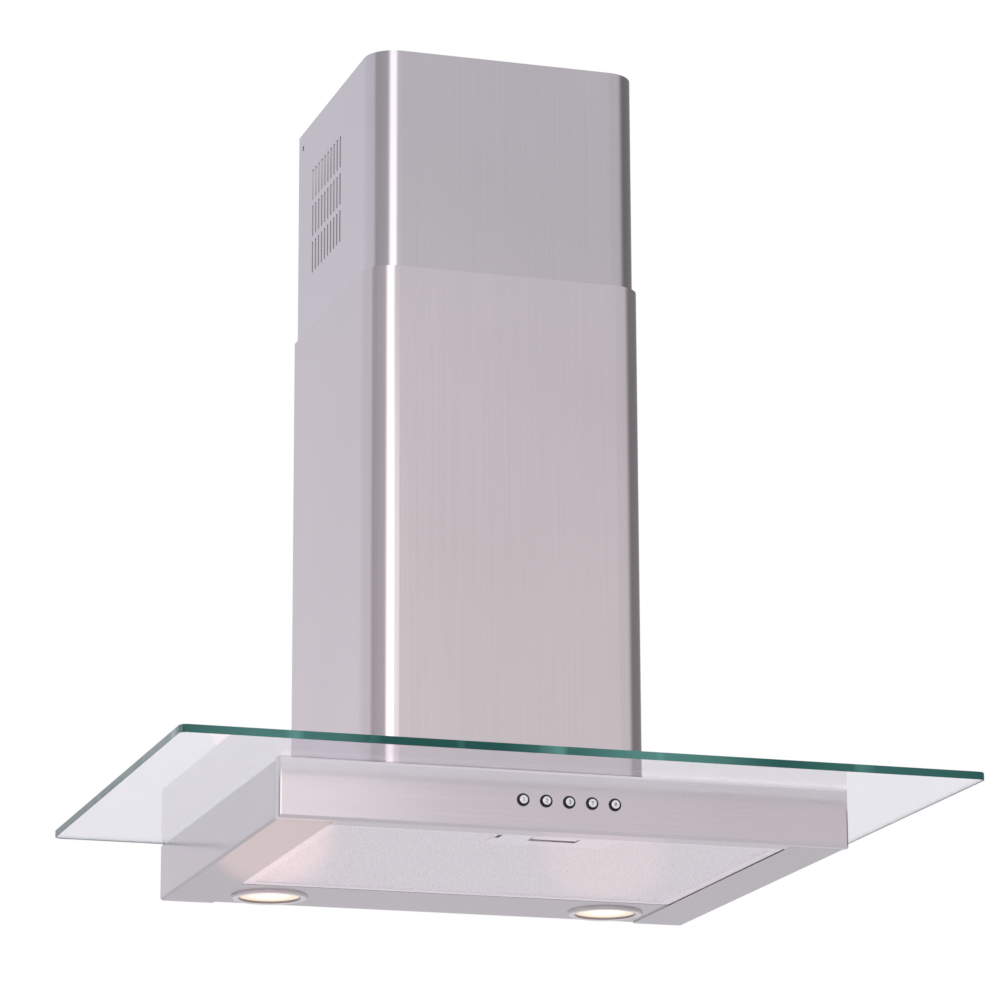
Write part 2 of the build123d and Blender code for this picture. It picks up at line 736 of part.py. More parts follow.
def push_button(x):
    """A domed cap on a stem that reaches into the switch block."""
    cap_front = -body_depth - 2.0
    cap_length = 7.0
    with BuildPart() as button:
        rod((x, cap_front, 0), (0, 1, 0), button_radius, cap_length)
        fillet(faces().sort_by(Axis.Y)[0].edges(), 0.9)
        rod((x, cap_front + cap_length, 0), (0, 1, 0), stem_radius, switch_front_y + 2 - cap_front - cap_length)
    return button


button_names = ["button_low", "button_medium", "button_high", "button_fan", "button_lamp"]
for name, x in zip(button_names, button_xs):
    save(name, push_button(x))


# ================================================================ lamps
def lamp_plane(x, z):
    return Plane(origin=(x, -lamp_offset_y, z), z_dir=(0, 0, 1))


cup_top = flange_top + lamp_cup_height
for side, side_name in side_names.items():
    x = side * lamp_offset_x
    y = -lamp_offset_y

    with BuildPart() as lamp_ring:
        with BuildSketch(Plane(origin=(x, y, 0), x_dir=(1, 0, 0), z_dir=(0, -1, 0))):
            with BuildLine():
                Polyline(
                    (lamp_window_radius, flange_top),
                    (lamp_window_radius, flange_top - 1.0),
                    (lamp_window_radius + 1.2, flange_top - 2.0),
                    (lamp_ring_radius - 2.0, flange_top - 2.0),
                )
                ThreePointArc(
                    (lamp_ring_radius - 2.0, flange_top - 2.0),
                    (lamp_ring_radius - 0.6, flange_top - 1.4),
                    (lamp_ring_radius, flange_top),
                )
                Line((lamp_ring_radius, flange_top), (lamp_window_radius, flange_top))
            make_face()
        revolve(axis=Axis((x, y, 0), (0, 0, 1)))
    save(f"lamp_ring_{side_name}", lamp_ring)

    with BuildPart() as lamp_glass:
        rod((x, y, flange_top), (0, 0, 1), lamp_cup_radius - 1.0, 1.4)
        chamfer(edges().filter_by(GeomType.CIRCLE), 0.3)
    save(f"lamp_glass_{side_name}", lamp_glass)

    with BuildPart() as lamp_housing:
        rod((x, y, flange_top), (0, 0, 1), lamp_cup_radius, lamp_cup_height)
        fillet(faces().sort_by(Axis.Z)[-1].edges(), 1)
        rod((x, y, flange_top), (0, 0, 1), lamp_cup_radius - 0.8, lamp_cup_height - 0.8, Mode.SUBTRACT)
        with BuildSketch(lamp_plane(x, cup_top)):
            with PolarLocations(17, 8):
                SlotOverall(8, 2.5, rotation=90)
        extrude(amount=-3, mode=Mode.SUBTRACT)
    save(f"lamp_housing_{side_name}", lamp_housing)

    holder_bottom = cup_top - 4.0
    with BuildPart() as lamp_holder:
        rod((x, y, holder_bottom), (0, 0, 1), 7.5, cup_top - 0.8 - holder_bottom)
        chamfer(faces().sort_by(Axis.Z)[0].edges(), 0.6)
    save(f"lamp_holder_{side_name}", lamp_holder)

    with BuildPart() as lamp_bulb:
        rod((x, y, holder_bottom), (0, 0, -1), 4.0, 8.5)
        fillet(faces().sort_by(Axis.Z)[0].edges(), 3)
    save(f"lamp_bulb_{side_name}", lamp_bulb)

# ================================================================ grease filter
filter_half_width = filter_width / 2
housing_half_width = 46.0
housing_front_y = filter_front_y + 3
housing_back_y = housing_front_y + 36
tongue_half_width = 8.0
tongue_z = (-19.3, -17.3)
with BuildPart() as filter_frame:
    block((-filter_half_width, filter_half_width), (filter_front_y, filter_back_y), (filter_bottom_z, filter_top_z))
    fillet(edges().filter_by(Axis.Z), 3)
    block(
        (-filter_half_width + filter_skin, filter_half_width - filter_skin),
        (filter_front_y + filter_skin, filter_back_y - filter_skin),
        (filter_bottom_z + filter_skin, filter_top_z - filter_skin),
        Mode.SUBTRACT,
    )
    block(
        (-filter_half_width + filter_lip, filter_half_width - filter_lip),
        (filter_front_y + filter_lip, filter_back_y - filter_lip),
        (filter_bottom_z, filter_top_z),
        Mode.SUBTRACT,
    )
    block(
        (-housing_half_width, housing_half_width),
        (housing_front_y, filter_front_y + filter_lip + 1),
        (filter_bottom_z, filter_bottom_z + filter_skin),
        Mode.SUBTRACT,
    )
    block(
        (-tongue_half_width - 0.4, tongue_half_width + 0.4),
        (filter_front_y, filter_front_y + filter_skin),
        (tongue_z[0] - 0.4, tongue_z[1] + 0.4),
        Mode.SUBTRACT,
    )
    for side in (-1, 1):
        block(
            (side * filter_tab_x - 12, side * filter_tab_x + 12),
            (filter_back_y, filter_back_y + 8),
            (flange_top + sheet + 0.3, flange_top + sheet + 1.3),
        )
save("filter_frame", filter_frame)


def filter_layer(z_limits):
    """A sheet that fills the frame's channel and leaves room for the latch housing."""
    with BuildPart() as layer:
        block(
            (-filter_half_width + filter_skin, filter_half_width - filter_skin),
            (filter_front_y + filter_skin, filter_back_y - filter_skin),
            z_limits,
        )
        block(
            (-housing_half_width, housing_half_width),
            (filter_front_y, housing_back_y),
            z_limits,
            Mode.SUBTRACT,
        )
    return layer


mesh_lower_z = (filter_bottom_z + filter_skin, filter_bottom_z + filter_skin + filter_mesh_thickness)
mesh_upper_z = (filter_top_z - filter_skin - filter_mesh_thickness, filter_top_z - filter_skin)
save("filter_mesh_lower", filter_layer(mesh_lower_z))
save("filter_core", filter_layer((mesh_lower_z[1], mesh_upper_z[0])))
save("filter_mesh_upper", filter_layer(mesh_upper_z))

chamber_half_width = 30.0
chamber_y = (housing_front_y + 3, housing_back_y - 3)
chamber_z = (filter_bottom_z + 1.0, filter_top_z - filter_skin - 1.4)
window_half_width = 18.0
window_y = (chamber_y[0] + 2, chamber_y[0] + 16)
slot_x = (-housing_half_width + 1, -housing_half_width + 4.5)
slot_y = (housing_front_y + 2, housing_front_y + 14)
slot_depth = 3.0
with BuildPart() as latch_housing:
    block(
        (-housing_half_width, housing_half_width),
        (housing_front_y, housing_back_y),
        (filter_bottom_z, filter_top_z - filter_skin),
    )
    block((-chamber_half_width, chamber_half_width), chamber_y, chamber_z, Mode.SUBTRACT)
    block((-window_half_width, window_half_width), window_y, (filter_bottom_z, chamber_z[0]), Mode.SUBTRACT)
    block(
        (-tongue_half_width - 0.4, tongue_half_width + 0.4),
        (housing_front_y, chamber_y[0]),
        (tongue_z[0] - 0.4, tongue_z[1] + 0.4),
        Mode.SUBTRACT,
    )
    block(slot_x, slot_y, (filter_bottom_z, filter_bottom_z + slot_depth), Mode.SUBTRACT)
save("latch_housing", latch_housing)

slider_y = (chamber_y[0] + 1.5, chamber_y[0] + 11.5)
with BuildPart() as filter_latch:
    block((-chamber_half_width + 1, chamber_half_width - 1), slider_y, (chamber_z[0] + 0.5, chamber_z[1] - 0.5))
    fillet(edges().filter_by(Axis.Z), 1.5)
    block(
        (-window_half_width + 1, window_half_width - 1),
        (window_y[0] + 0.6, window_y[1] - latch_travel - 0.6),
        (filter_bottom_z + 0.1, chamber_z[0] + 1),
    )
    block((-tongue_half_width, tongue_half_width), (filter_front_y - 7, slider_y[0] + 1), tongue_z)
save("filter_latch", filter_latch)

# Return spring of the latch, between the slider and the back of its chamber.
spring_radius = 1.9
wire_radius = 0.3
spring_turns = 7
spring_length = chamber_y[1] - slider_y[1] - 2 * wire_radius - 0.2
spring_start = (0, slider_y[1] + wire_radius + 0.1, (chamber_z[0] + chamber_z[1]) / 2)
with BuildPart() as latch_spring:
    with BuildLine() as coil:
        Helix(spring_length / spring_turns, spring_length, spring_radius, spring_start, (0, 1, 0))
    with BuildSketch(Plane(origin=coil.line @ 0, z_dir=coil.line % 0)):
        Circle(wire_radius)
    sweep()
save("latch_spring", latch_spring)
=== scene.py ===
import json
import math

import bmesh
import bpy
from mathutils import Matrix, Vector
from mathutils.bvhtree import BVHTree


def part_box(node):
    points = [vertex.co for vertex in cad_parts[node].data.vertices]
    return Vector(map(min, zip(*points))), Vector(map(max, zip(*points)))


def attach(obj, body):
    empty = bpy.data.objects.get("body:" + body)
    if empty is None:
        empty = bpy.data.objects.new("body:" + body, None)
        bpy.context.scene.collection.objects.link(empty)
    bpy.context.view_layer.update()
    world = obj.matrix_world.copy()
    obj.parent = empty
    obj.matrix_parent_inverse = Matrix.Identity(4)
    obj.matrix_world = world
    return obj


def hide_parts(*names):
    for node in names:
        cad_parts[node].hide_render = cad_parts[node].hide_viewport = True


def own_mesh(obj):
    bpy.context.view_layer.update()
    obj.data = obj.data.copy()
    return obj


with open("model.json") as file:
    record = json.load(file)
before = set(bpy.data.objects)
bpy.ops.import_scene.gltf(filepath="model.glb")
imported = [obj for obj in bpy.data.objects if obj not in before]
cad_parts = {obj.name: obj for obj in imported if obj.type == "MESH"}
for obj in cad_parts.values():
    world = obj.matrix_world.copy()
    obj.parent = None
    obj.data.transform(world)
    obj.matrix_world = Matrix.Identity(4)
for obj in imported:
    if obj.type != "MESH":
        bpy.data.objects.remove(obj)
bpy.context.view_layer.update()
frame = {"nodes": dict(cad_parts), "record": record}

SCENE = bpy.context.scene
NODES = frame["nodes"]
MM = 0.001


def circle_points(radius, height):
    """Points of a closed circle whose middle lies above zero by the given height."""
    turns = [math.radians(turn) for turn in range(0, 361, 30)]
    return [(radius * math.cos(turn), radius * math.sin(turn) + height) for turn in turns]


# Marks on the buttons, in millimetres from the middle of each cap: X to the right, Z up.
BUTTON_MARKS = {
    "button_low": [[(-0.55, 0.75), (0.15, 1.35), (0.15, -1.35)]],
    "button_medium": [
        [
            (-0.75, 0.7),
            (-0.5, 1.2),
            (0.0, 1.35),
            (0.55, 1.15),
            (0.72, 0.65),
            (0.45, 0.1),
            (-0.75, -1.3),
            (0.8, -1.3),
        ],
    ],
    "button_high": [
        [(-0.7, 1.0), (-0.3, 1.32), (0.3, 1.3), (0.68, 0.9), (0.6, 0.35), (-0.05, 0.05)],
        [(-0.05, 0.05), (0.65, -0.25), (0.78, -0.8), (0.35, -1.25), (-0.3, -1.32), (-0.75, -0.95)],
    ],
    "button_fan": [[(-0.95, 1.1), (0.0, 0.85), (0.95, 1.1)], [(0.0, 0.85), (0.0, -1.3)]],
    "button_lamp": [
        circle_points(0.75, 0.4),
        [(-0.35, -0.75), (0.35, -0.75)],
        [(-0.25, -1.15), (0.25, -1.15)],
    ],
}
LAMP_SIDES = ("left", "right")


# ------------------------------------------------------------------ node helpers
def new_material(name):
    """A material with one Principled shader; returns (material, tree, shader)."""
    material = bpy.data.materials.new(name)
    material.use_nodes = True
    tree = material.node_tree
    return material, tree, tree.nodes["Principled BSDF"]


def node(tree, kind, inputs=None, **settings):
    """Adds a node. inputs maps a socket name or number to a constant or to another node's output."""
    made = tree.nodes.new(kind)
    for key, value in settings.items():
        setattr(made, key, value)
    for key, value in (inputs or {}).items():
        if isinstance(value, bpy.types.NodeSocket):
            tree.links.new(value, made.inputs[key])
        else:
            made.inputs[key].default_value = value
    return made


def calculate(tree, operation, *values):
    """One step of arithmetic on sockets or constants."""
    return node(tree, "ShaderNodeMath", dict(enumerate(values)), operation=operation).outputs[0]


def object_place(tree):
    """Where a point of the surface lies in the object's own space."""
    return node(tree, "ShaderNodeTexCoord").outputs["Object"]


def stretched_noise(tree, scale, detail=3.0, roughness=0.55):
    """Noise in the object's own space, with its own scale along X, Y and Z (per metre)."""
    mapped = node(tree, "ShaderNodeMapping", {"Vector": object_place(tree), "Scale": scale}).outputs["Vector"]
    settings = {"Vector": mapped, "Scale": 1.0, "Detail": detail, "Roughness": roughness}
    return node(tree, "ShaderNodeTexNoise", settings).outputs["Fac"]


def even_noise(tree, scale, detail):
    """Noise with the same scale along every axis."""
    return stretched_noise(tree, (scale, scale, scale), detail=detail)


def spread(tree, value, low, high, start=0.3, end=0.7):
    """Maps a value from start..end to low..high, clamped."""
    limits = {"Value": value, "From Min": start, "From Max": end, "To Min": low, "To Max": high}
    return node(tree, "ShaderNodeMapRange", limits, clamp=True).outputs["Result"]


def blend_colours(tree, value, first, second):
    """Two colours mixed by a value."""
    colours = {"Factor": value, 6: (*first, 1.0), 7: (*second, 1.0)}
    return node(tree, "ShaderNodeMix", colours, data_type="RGBA").outputs[2]


def multiply_colours(tree, first, second):
    """Two colour sockets multiplied."""
    colours = {"Factor": 1.0, 6: first, 7: second}
    return node(tree, "ShaderNodeMix", colours, data_type="RGBA", blend_type="MULTIPLY").outputs[2]


def bump(tree, shader, height, distance, strength):
    """Raises the shader's surface by a height value, in metres of distance."""
    settings = {"Height": height, "Distance": distance, "Strength": strength}
    tree.links.new(node(tree, "ShaderNodeBump", settings).outputs["Normal"], shader.inputs["Normal"])


def ramp(tree, value, stops, start, end):
    """A colour ramp over a value from start to end; stops are (value, red, green, blue)."""
    made = node(tree, "ShaderNodeValToRGB", {"Fac": spread(tree, value, 0.0, 1.0, start, end)})
    made.color_ramp.interpolation = "LINEAR"
    elements = made.color_ramp.elements
    for place, *colour in stops[1:-1]:
        elements.new((place - start) / (end - start)).color = (*colour, 1.0)
    elements[0].color = (*stops[0][1:], 1.0)
    elements[-1].color = (*stops[-1][1:], 1.0)
    return made.outputs["Color"]


def distance_from(tree, centre):
    """How far a point of the surface lies from a fixed place in the object's own space."""
    between = {0: object_place(tree), 1: centre}
    offset = node(tree, "ShaderNodeVectorMath", between, operation="SUBTRACT").outputs[0]
    return node(tree, "ShaderNodeVectorMath", {0: offset}, operation="LENGTH").outputs["Value"]


def shade(colour, amount):
    """A colour made darker or brighter."""
    return tuple(min(1.0, channel * amount) for channel in colour)


def toned(tree, value, colour, tones):
    """A colour that goes from its darker to its brighter tone as a value goes from 0 to 1."""
    darkest, brightest = tones
    return blend_colours(tree, value, shade(colour, darkest), shade(colour, brightest))


def strayed(tree, value, middle, stray, *limits):
    """A number that strays from its middle with a noise value: below it and above it."""
    below, above = stray
    return spread(tree, value, middle + below, middle + above, *limits)


def paint(tree, shader, colour, polish):
    """Drives the shader's base colour and roughness."""
    tree.links.new(colour, shader.inputs["Base Color"])
    tree.links.new(polish, shader.inputs["Roughness"])


# ------------------------------------------------------------------ metals and plastics
# SCALE is in repeats per metre, TONES are shares of a colour, and STRAY is how far roughness strays.
# Brushed sheet has one scale along its grain and one across it.
ALONG_GRAIN = 6.0
ACROSS_GRAIN = 1600.0
GRAIN_SCALES = {
    "x": (ALONG_GRAIN, ACROSS_GRAIN, ACROSS_GRAIN),
    "y": (ACROSS_GRAIN, ALONG_GRAIN, ACROSS_GRAIN),
    "z": (ACROSS_GRAIN, ACROSS_GRAIN, ALONG_GRAIN),
}
# The scale of the rub marks, as a share of the scratches'.
RUB_SHARE = 0.2
CLOUD_SCALE = 5.0
BRUSHED_TONES = (0.96, 1.03)
BRUSHED_STRAY = (-0.03, 0.04)
BRUSHED_RELIEF = 0.3
# Two noises added together lie mostly within these limits.
NOISE_SUM = (0.7, 1.3)
# Painted shade and light by facing: a surface turns to face down while its direction's Z passes between
# the first two, and sideways while its X passes between the others.
TURNS_DOWN = (-0.9, -0.4)
TURNS_SIDEWAYS = (0.6, 0.98)
PATCH_SCALE = 22.0
CAST_TONES = (0.85, 1.05)
CAST_STRAY = (-0.06, 0.08)
CAST_RELIEF = 0.4
MESH_SCALE = 600.0
MESH_TONES = (0.93, 1.0)
MESH_STRAY = (-0.06, 0.06)
MESH_RELIEF = 0.3
MESH_DEPTH = 0.00003
# How many times broader the changes in gloss of a moulding are than its grain.
GLOSS_BREADTH = 30
MOULDED_STRAY = (-0.06, 0.1)
MOULDED_RELIEF = 0.35


def shade_by_facing(tree, tint, underside, sides):
    """Painted shade and light by facing: a colour times one share on faces down and another on faces sideways.
    """
    normal = node(tree, "ShaderNodeNewGeometry").outputs["Normal"]
    facing = node(tree, "ShaderNodeSeparateXYZ", {"Vector": normal}).outputs
    below = spread(tree, facing["Z"], underside, 1.0, *TURNS_DOWN)
    beside = spread(tree, calculate(tree, "ABSOLUTE", facing["X"]), 1.0, sides, *TURNS_SIDEWAYS)
    share = calculate(tree, "MULTIPLY", below, beside)
    painted_shade_share = node(tree, "ShaderNodeCombineXYZ", {"X": share, "Y": share, "Z": share}).outputs["Vector"]
    return multiply_colours(tree, tint, painted_shade_share)


def brushed_metal(name, colour, grain, roughness=0.17, depth=0.000008, underside=1.0, sides=1.0):
    """Sheet metal brushed along one axis: long fine scratches, soft clouds and faint rub marks.
    Faces that look down and faces that look sideways take the given shares of the colour:
    painted shade where a share is below one, painted light where it is above."""
    material, tree, shader = new_material(name)
    scratches = stretched_noise(tree, GRAIN_SCALES[grain], detail=4.0, roughness=0.6)
    clouds = even_noise(tree, CLOUD_SCALE, detail=2.0)
    rubs = stretched_noise(tree, tuple(part * RUB_SHARE for part in GRAIN_SCALES[grain]), detail=2.0)
    grey = spread(tree, calculate(tree, "ADD", scratches, clouds), 0, 1, *NOISE_SUM)
    tint = toned(tree, grey, colour, BRUSHED_TONES)
    if underside != 1.0 or sides != 1.0:
        tint = shade_by_facing(tree, tint, underside, sides)
    rough = calculate(tree, "ADD", scratches, rubs)
    paint(tree, shader, tint, strayed(tree, rough, roughness, BRUSHED_STRAY, *NOISE_SUM))
    shader.inputs["Metallic"].default_value = 1.0
    bump(tree, shader, scratches, depth, BRUSHED_RELIEF)
    return material


def cast_metal(name, colour, roughness=0.35, grain=420.0, depth=0.00006):
    """Cast, plated or spun metal: fine even grain with darker patches."""
    material, tree, shader = new_material(name)
    fine = even_noise(tree, grain, detail=4.0)
    patches = spread(tree, even_noise(tree, PATCH_SCALE, detail=3.0), 0, 1)
    tint = toned(tree, patches, colour, CAST_TONES)
    paint(tree, shader, tint, strayed(tree, fine, roughness, CAST_STRAY))
    shader.inputs["Metallic"].default_value = 1.0
    bump(tree, shader, fine, depth, CAST_RELIEF)
    return material


def banded_metal(name, colour, centre, bands, **settings):
    """Cast or spun metal with darker rings round a centre, as dark seals and as painted shade and reflection;
    bands are (radius, share of the colour).
    """
    material = cast_metal(name, colour, **settings)
    tree = material.node_tree
    base = tree.nodes["Principled BSDF"].inputs["Base Color"]
    stops = [(radius, share, share, share) for radius, share in bands]
    rings = ramp(tree, distance_from(tree, centre), stops, bands[0][0], bands[-1][0])
    tree.links.new(multiply_colours(tree, base.links[0].from_socket, rings), base)
    return material


def mesh_metal(name, colour, roughness):
    """Rolled and slit aluminium: fine even grain, a little brighter and darker from strand to strand."""
    material, tree, shader = new_material(name)
    fine = even_noise(tree, MESH_SCALE, detail=3.0)
    tint = toned(tree, spread(tree, fine, 0, 1), colour, MESH_TONES)
    paint(tree, shader, tint, strayed(tree, fine, roughness, MESH_STRAY))
    shader.inputs["Metallic"].default_value = 1.0
    bump(tree, shader, fine, MESH_DEPTH, MESH_RELIEF)
    return material


def moulded(name, colour, roughness=0.45, grain=900.0, depth=0.00005, contrast=0.11):
    """Moulded plastic, rubber or ceramic: spark-eroded grain and slow changes in gloss."""
    material, tree, shader = new_material(name)
    fine = even_noise(tree, grain, detail=2.0)
    slow = even_noise(tree, grain / GLOSS_BREADTH, detail=2.0)
    tint = toned(tree, spread(tree, slow, 0, 1), colour, (1 - contrast, 1 + contrast))
    paint(tree, shader, tint, strayed(tree, slow, roughness, MOULDED_STRAY))
    bump(tree, shader, fine, depth, MOULDED_RELIEF)
    return material


# ------------------------------------------------------------------ glass and lamp lenses
GLASS_IOR = 1.5
# Wiping marks: their scale along X, Y and Z, the noise values between which they show, and their roughness.
SMEAR_SCALE = (9.0, 14.0, 9.0)
SMEAR_LIMITS = (0.45, 0.8)
SMEAR_ROUGHNESS = 0.02


def clear_glass(name, colour, shadow_colour):
    """Clear float glass with a faint tint and wiping marks on its faces, which casts only a faint shadow."""
    material, tree, shader = new_material(name)
    shader.inputs["Base Color"].default_value = (*colour, 1.0)
    shader.inputs["Transmission Weight"].default_value = 1.0
    shader.inputs["IOR"].default_value = GLASS_IOR
    smear = spread(tree, stretched_noise(tree, SMEAR_SCALE), 0.0, SMEAR_ROUGHNESS, *SMEAR_LIMITS)
    tree.links.new(smear, shader.inputs["Roughness"])
    clear = node(tree, "ShaderNodeBsdfTransparent", {"Color": (*shadow_colour, 1.0)})
    path = node(tree, "ShaderNodeLightPath")
    inputs = {"Fac": path.outputs["Is Shadow Ray"], 1: shader.outputs[0], 2: clear.outputs[0]}
    mixed = node(tree, "ShaderNodeMixShader", inputs)
    tree.links.new(mixed.outputs[0], tree.nodes["Material Output"].inputs["Surface"])
    return material


# Three noises of the polished edge: broad bright patches and small glints, which are painted light, and fine
# lines along it.
PATCH_STRETCH = (5.0, 5.0, 2.0)
PATCH_LIMITS = (0.42, 0.62)
PATCH_BRIGHTNESS = 0.6
GLINT_STRETCH = (34.0, 34.0, 4.0)
GLINT_LIMITS = (0.60, 0.72)
GLINT_BRIGHTNESS = 0.55
LINE_STRETCH = (3.0, 3.0, 900.0)
EDGE_ROUGHNESS = (0.06, 0.16)
EDGE_SPECULAR = 0.15
EDGE_DEPTH = 0.00002
EDGE_RELIEF = 0.2
# Where along the edge, in metres to the right of the middle, the painted light fades, and the share of it that
# is left.
EDGE_FADE = (0.12, 0.24)
EDGE_FADED_SHARE = 0.25


def glass_edge(name, deep, bright):
    """Polished glass edge: an opaque green surface with painted light in soft uneven patches and glints."""
    material, tree, shader = new_material(name)
    broad = stretched_noise(tree, PATCH_STRETCH, detail=2.0)
    small = stretched_noise(tree, GLINT_STRETCH, detail=1.0)
    lines = stretched_noise(tree, LINE_STRETCH, detail=2.0)
    patches = spread(tree, broad, 0.0, PATCH_BRIGHTNESS, *PATCH_LIMITS)
    painted_glints = spread(tree, small, 0.0, GLINT_BRIGHTNESS, *GLINT_LIMITS)
    painted_edge_light = calculate(tree, "ADD", patches, painted_glints)
    across = node(tree, "ShaderNodeSeparateXYZ", {"Vector": object_place(tree)}).outputs["X"]
    share = spread(tree, across, 1.0, EDGE_FADED_SHARE, *EDGE_FADE)
    tint = blend_colours(tree, calculate(tree, "MULTIPLY", painted_edge_light, share), deep, bright)
    paint(tree, shader, tint, spread(tree, lines, *EDGE_ROUGHNESS))
    shader.inputs["IOR"].default_value = GLASS_IOR
    shader.inputs["Specular IOR Level"].default_value = EDGE_SPECULAR
    bump(tree, shader, lines, EDGE_DEPTH, EDGE_RELIEF)
    return material


LENS_CENTRE_COLOUR = (1.0, 0.95, 0.82)
LENS_BASE_COLOUR = (0.35, 0.33, 0.30)
# Between these shares of its radius the lens fades to its rim, which keeps a share of the strength.
LENS_FADE = (0.05, 0.85)
LENS_RIM_STRENGTH = 0.58
FROST_SCALE = 1500.0
FROST_ROUGHNESS = (0.3, 0.5)
FROST_DEPTH = 0.00008
FROST_RELIEF = 0.4


def lit_lens(name, colour, centre, radius, strength):
    """Frosted lamp lens, brightest over the bulb and darker towards its rim."""
    material, tree, shader = new_material(name)
    fade_start, fade_end = (share * radius for share in LENS_FADE)
    reach = distance_from(tree, centre)
    limits = {"Value": reach, "From Min": fade_start, "From Max": fade_end, "To Min": 1.0, "To Max": 0.0}
    core = node(tree, "ShaderNodeMapRange", limits, interpolation_type="SMOOTHSTEP").outputs["Result"]
    tree.links.new(blend_colours(tree, core, colour, LENS_CENTRE_COLOUR), shader.inputs["Emission Color"])
    power = spread(tree, core, strength * LENS_RIM_STRENGTH, strength, 0.0, 1.0)
    tree.links.new(power, shader.inputs["Emission Strength"])
    shader.inputs["Base Color"].default_value = (*LENS_BASE_COLOUR, 1.0)
    frost = even_noise(tree, FROST_SCALE, detail=2.0)
    tree.links.new(spread(tree, frost, *FROST_ROUGHNESS), shader.inputs["Roughness"])
    bump(tree, shader, frost, FROST_DEPTH, FROST_RELIEF)
    return material


# ------------------------------------------------------------------ materials of the nodes
# Each stainless sheet takes its own tint and brightness, which paint the light and shade that falls on it.
STEEL = (0.70, 0.665, 0.685)
STEEL_SHELL = (0.585, 0.566, 0.582)
STEEL_PANEL = (0.605, 0.572, 0.592)
STEEL_COOL = (0.655, 0.628, 0.655)
STEEL_WARM = (0.725, 0.68, 0.695)
FILTER_COLOUR = (0.97, 0.93, 0.955)
MESH_COLOUR = (0.98, 0.94, 0.965)
# The share of the colour left on the downward faces of the shell and the lamp panel: painted shade.
PAINTED_UNDERSIDE_SHADE = 0.90
FILTER_ROUGHNESS = 0.26
MATERIALS = {
    "steel_x": brushed_metal("steel_x", STEEL, "x"),
    "steel_y": brushed_metal("steel_y", STEEL_SHELL, "y", underside=PAINTED_UNDERSIDE_SHADE),
    "steel_panel": brushed_metal("steel_panel", STEEL_PANEL, "x", underside=PAINTED_UNDERSIDE_SHADE),
    # The chimney's sides: painted shade on the lower sheet, painted light on the upper one.
    "steel_z": brushed_metal("steel_z", STEEL_WARM, "z", depth=0.000004, sides=0.92),
    "steel_top": brushed_metal("steel_top", STEEL_COOL, "z", depth=0.000004, sides=1.03),
    "galvanised": cast_metal("galvanised", (0.56, 0.58, 0.60), roughness=0.45, grain=160.0),
    "canopy_glass": clear_glass("canopy_glass", (0.955, 0.950, 1.0), (0.94, 0.97, 0.96)),
    "nylon": moulded("nylon", (0.78, 0.77, 0.70), roughness=0.5),
    "zinc_plated": cast_metal("zinc_plated", (0.66, 0.67, 0.68), roughness=0.25),
    "housing_plastic": moulded("housing_plastic", (0.035, 0.035, 0.04), roughness=0.5),
    "wheel_plastic": moulded("wheel_plastic", (0.07, 0.07, 0.075), roughness=0.45),
    "shaft_steel": brushed_metal("shaft_steel", (0.60, 0.61, 0.62), "x", roughness=0.2),
    "motor_casting": cast_metal("motor_casting", (0.55, 0.56, 0.57), roughness=0.4, grain=300.0),
    "rubber": moulded("rubber", (0.02, 0.02, 0.02), roughness=0.8, grain=500.0),
    "black_plastic": moulded("black_plastic", (0.006, 0.006, 0.007), roughness=0.42),
    "lamp_ceramic": moulded("lamp_ceramic", (0.85, 0.83, 0.78), roughness=0.4),
    "lamp_cup": cast_metal("lamp_cup", (0.80, 0.78, 0.74), roughness=0.2),
    "capacitor_shell": moulded("capacitor_shell", (0.75, 0.75, 0.73), roughness=0.4),
    "filter_aluminium": brushed_metal(
        "filter_aluminium", FILTER_COLOUR, "x", roughness=FILTER_ROUGHNESS, depth=0.000002
    ),
    "filter_mesh": mesh_metal("filter_mesh", MESH_COLOUR, roughness=FILTER_ROUGHNESS),
    "printed_ink": moulded("printed_ink", (0.05, 0.05, 0.055), roughness=0.5),
}
# The stainless sheets, each with its own grain. Every other node takes the material of its slot.
GRAIN_NODES = {
    "canopy_shell": "steel_y",
    "front_fascia": "steel_x",
    "lamp_panel": "steel_panel",
    "lower_chimney": "steel_z",
    "upper_chimney": "steel_top",
}


def dress(piece, material):
    """Gives a piece one material."""
    piece.data.materials.clear()
    piece.data.materials.append(material)


slots = {entry["node"]: entry["material_slot"] for entry in frame["record"]["subparts"]}
for name, slot in slots.items():
    key = GRAIN_NODES.get(name, slot)
    if key in MATERIALS:
        dress(NODES[name], MATERIALS[key])

# ------------------------------------------------------------------ materials of the buttons and lamps
CAP_COLOUR = (0.95, 0.95, 0.97)
# Distance from the middle of a button's cap in metres, and the share of the metal's brightness there:
# the rounded rim is darkened as a painted dark reflection.
CAP_PAINTED_RIM_BANDS = [
    (0.0, 1.0),
    (0.0027, 1.0),
    (0.0032, 0.12),
    (0.0060, 0.10),
]
RING_COLOUR = (0.90, 0.845, 0.86)
# The same for a lamp's ring, from the middle of the lens: a dark seal next to it and a shaded outer edge.
RING_BANDS = [
    (0.0225, 0.34),
    (0.0241, 0.34),
    (0.0246, 1.0),
    (0.0286, 1.0),
    (0.0290, 0.62),
    (0.0310, 0.76),
]
LENS_COLOUR = (1.0, 0.83, 0.64)
LENS_STRENGTH = 1.15
FILAMENT_COLOUR = (1.0, 0.58, 0.34)
FILAMENT_RADIUS = 0.006
FILAMENT_STRENGTH = 3.0


def middle_of(name):
    """The middle of a node's box."""
    low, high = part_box(name)
    return (low + high) / 2


def dress_button(name):
    """A spun cap with a painted dark reflection on its rim; the rings are measured from the middle of its
    front.
    """
    front = middle_of(name)
    front.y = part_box(name)[0].y
    finish = {"roughness": 0.2, "grain": 1500.0, "depth": 0.00001}
    dress(NODES[name], banded_metal(f"{name}_metal", CAP_COLOUR, front, CAP_PAINTED_RIM_BANDS, **finish))


